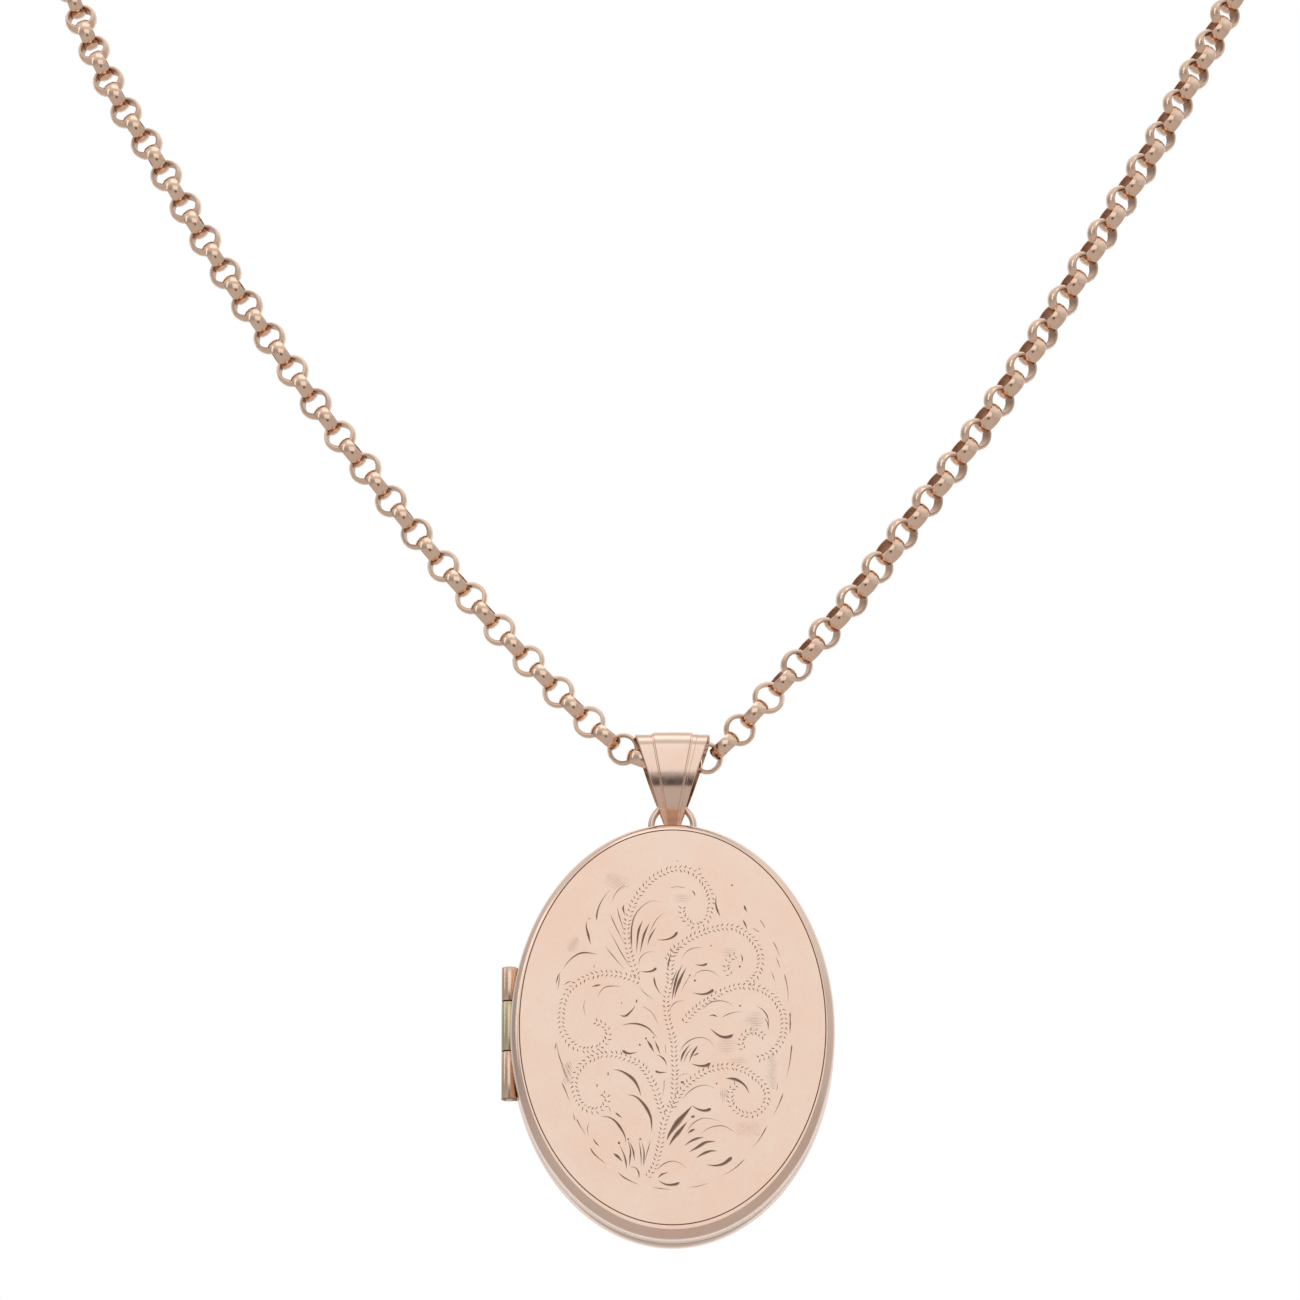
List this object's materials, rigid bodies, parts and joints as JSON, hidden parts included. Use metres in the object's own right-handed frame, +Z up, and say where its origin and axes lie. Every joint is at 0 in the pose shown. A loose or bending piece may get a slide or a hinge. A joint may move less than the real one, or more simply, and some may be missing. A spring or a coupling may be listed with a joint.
{
  "type": "locket necklace",
  "caption": "Oval hinged locket with an engraved face, photo frames inside, a tapered bail on a wire loop, and a belcher chain with a bolt ring clasp.",
  "frame": {"origin": "the nape of the neck, at the centre of the bolt ring clasp, where the worn necklace is held up", "axes": "+Z up, -Y out from the wearer's chest, the way the engraved face looks, +X to the viewer's right, away from the locket's hinge"},
  "size_m": [0.1238, 0.0346, 0.2089],
  "materials": {
    "case_gold": "polished rose gold, softly worn",
    "inner_gold": "polished rose gold",
    "window": "clear acetate",
    "photo_card": "blank matt card",
    "hinge_gold": "polished rose gold",
    "hinge_yellow_gold": "polished greenish yellow gold",
    "bail_gold": "polished rose gold",
    "chain_gold": "polished rose gold, tarnished inside the links",
    "clasp_gold": "polished rose gold",
    "spring_steel": "bright spring wire"
  },
  "bodies": {
    "chain": {"belcher_chain": "chain_gold", "clasp_body": "clasp_gold", "clasp_spring": "spring_steel", "clasp_end_loop": "clasp_gold", "chain_jump_ring": "chain_gold", "catch_ring": "chain_gold"},
    "clasp_bolt": {"clasp_bolt": "clasp_gold"},
    "bail": {"bail": "bail_gold"},
    "locket_back": {"back_shell": "case_gold", "closing_flange": "inner_gold", "back_photo_frame": "inner_gold", "back_window": "window", "back_photo_card": "photo_card", "hinge_knuckle_upper": "hinge_gold", "hinge_knuckle_lower": "hinge_gold", "hinge_pin": "hinge_yellow_gold", "top_loop": "bail_gold"},
    "locket_cover": {"front_shell": "case_gold", "front_photo_frame": "inner_gold", "front_window": "window", "front_photo_card": "photo_card", "hinge_knuckle_middle": "hinge_yellow_gold"}
  },
  "joints": [
    {"name": "bail_swing", "type": "hinge", "parent": "chain", "child": "bail", "pos_m": [0, -0.029, -0.159], "axis": [1, 0, 0], "range_deg": [-35, 35]},
    {"name": "locket_swing", "type": "hinge", "parent": "bail", "child": "locket_back", "pos_m": [0, -0.029, -0.16365], "axis": [1, 0, 0], "range_deg": [-45, 45]},
    {"name": "cover_open", "type": "hinge", "parent": "locket_back", "child": "locket_cover", "pos_m": [-0.0152, -0.02945, -0.18545], "axis": [0, 0, -1], "range_deg": [0, 180]},
    {"name": "clasp_bolt_draw", "type": "hinge", "parent": "chain", "child": "clasp_bolt", "pos_m": [0, 0, 0], "axis": [0, -1, 0], "range_deg": [0, 60], "stiffness_Nm_per_rad": 0.0012, "springref_deg": -28.65, "deforming": ["clasp_spring"]}
  ]
}
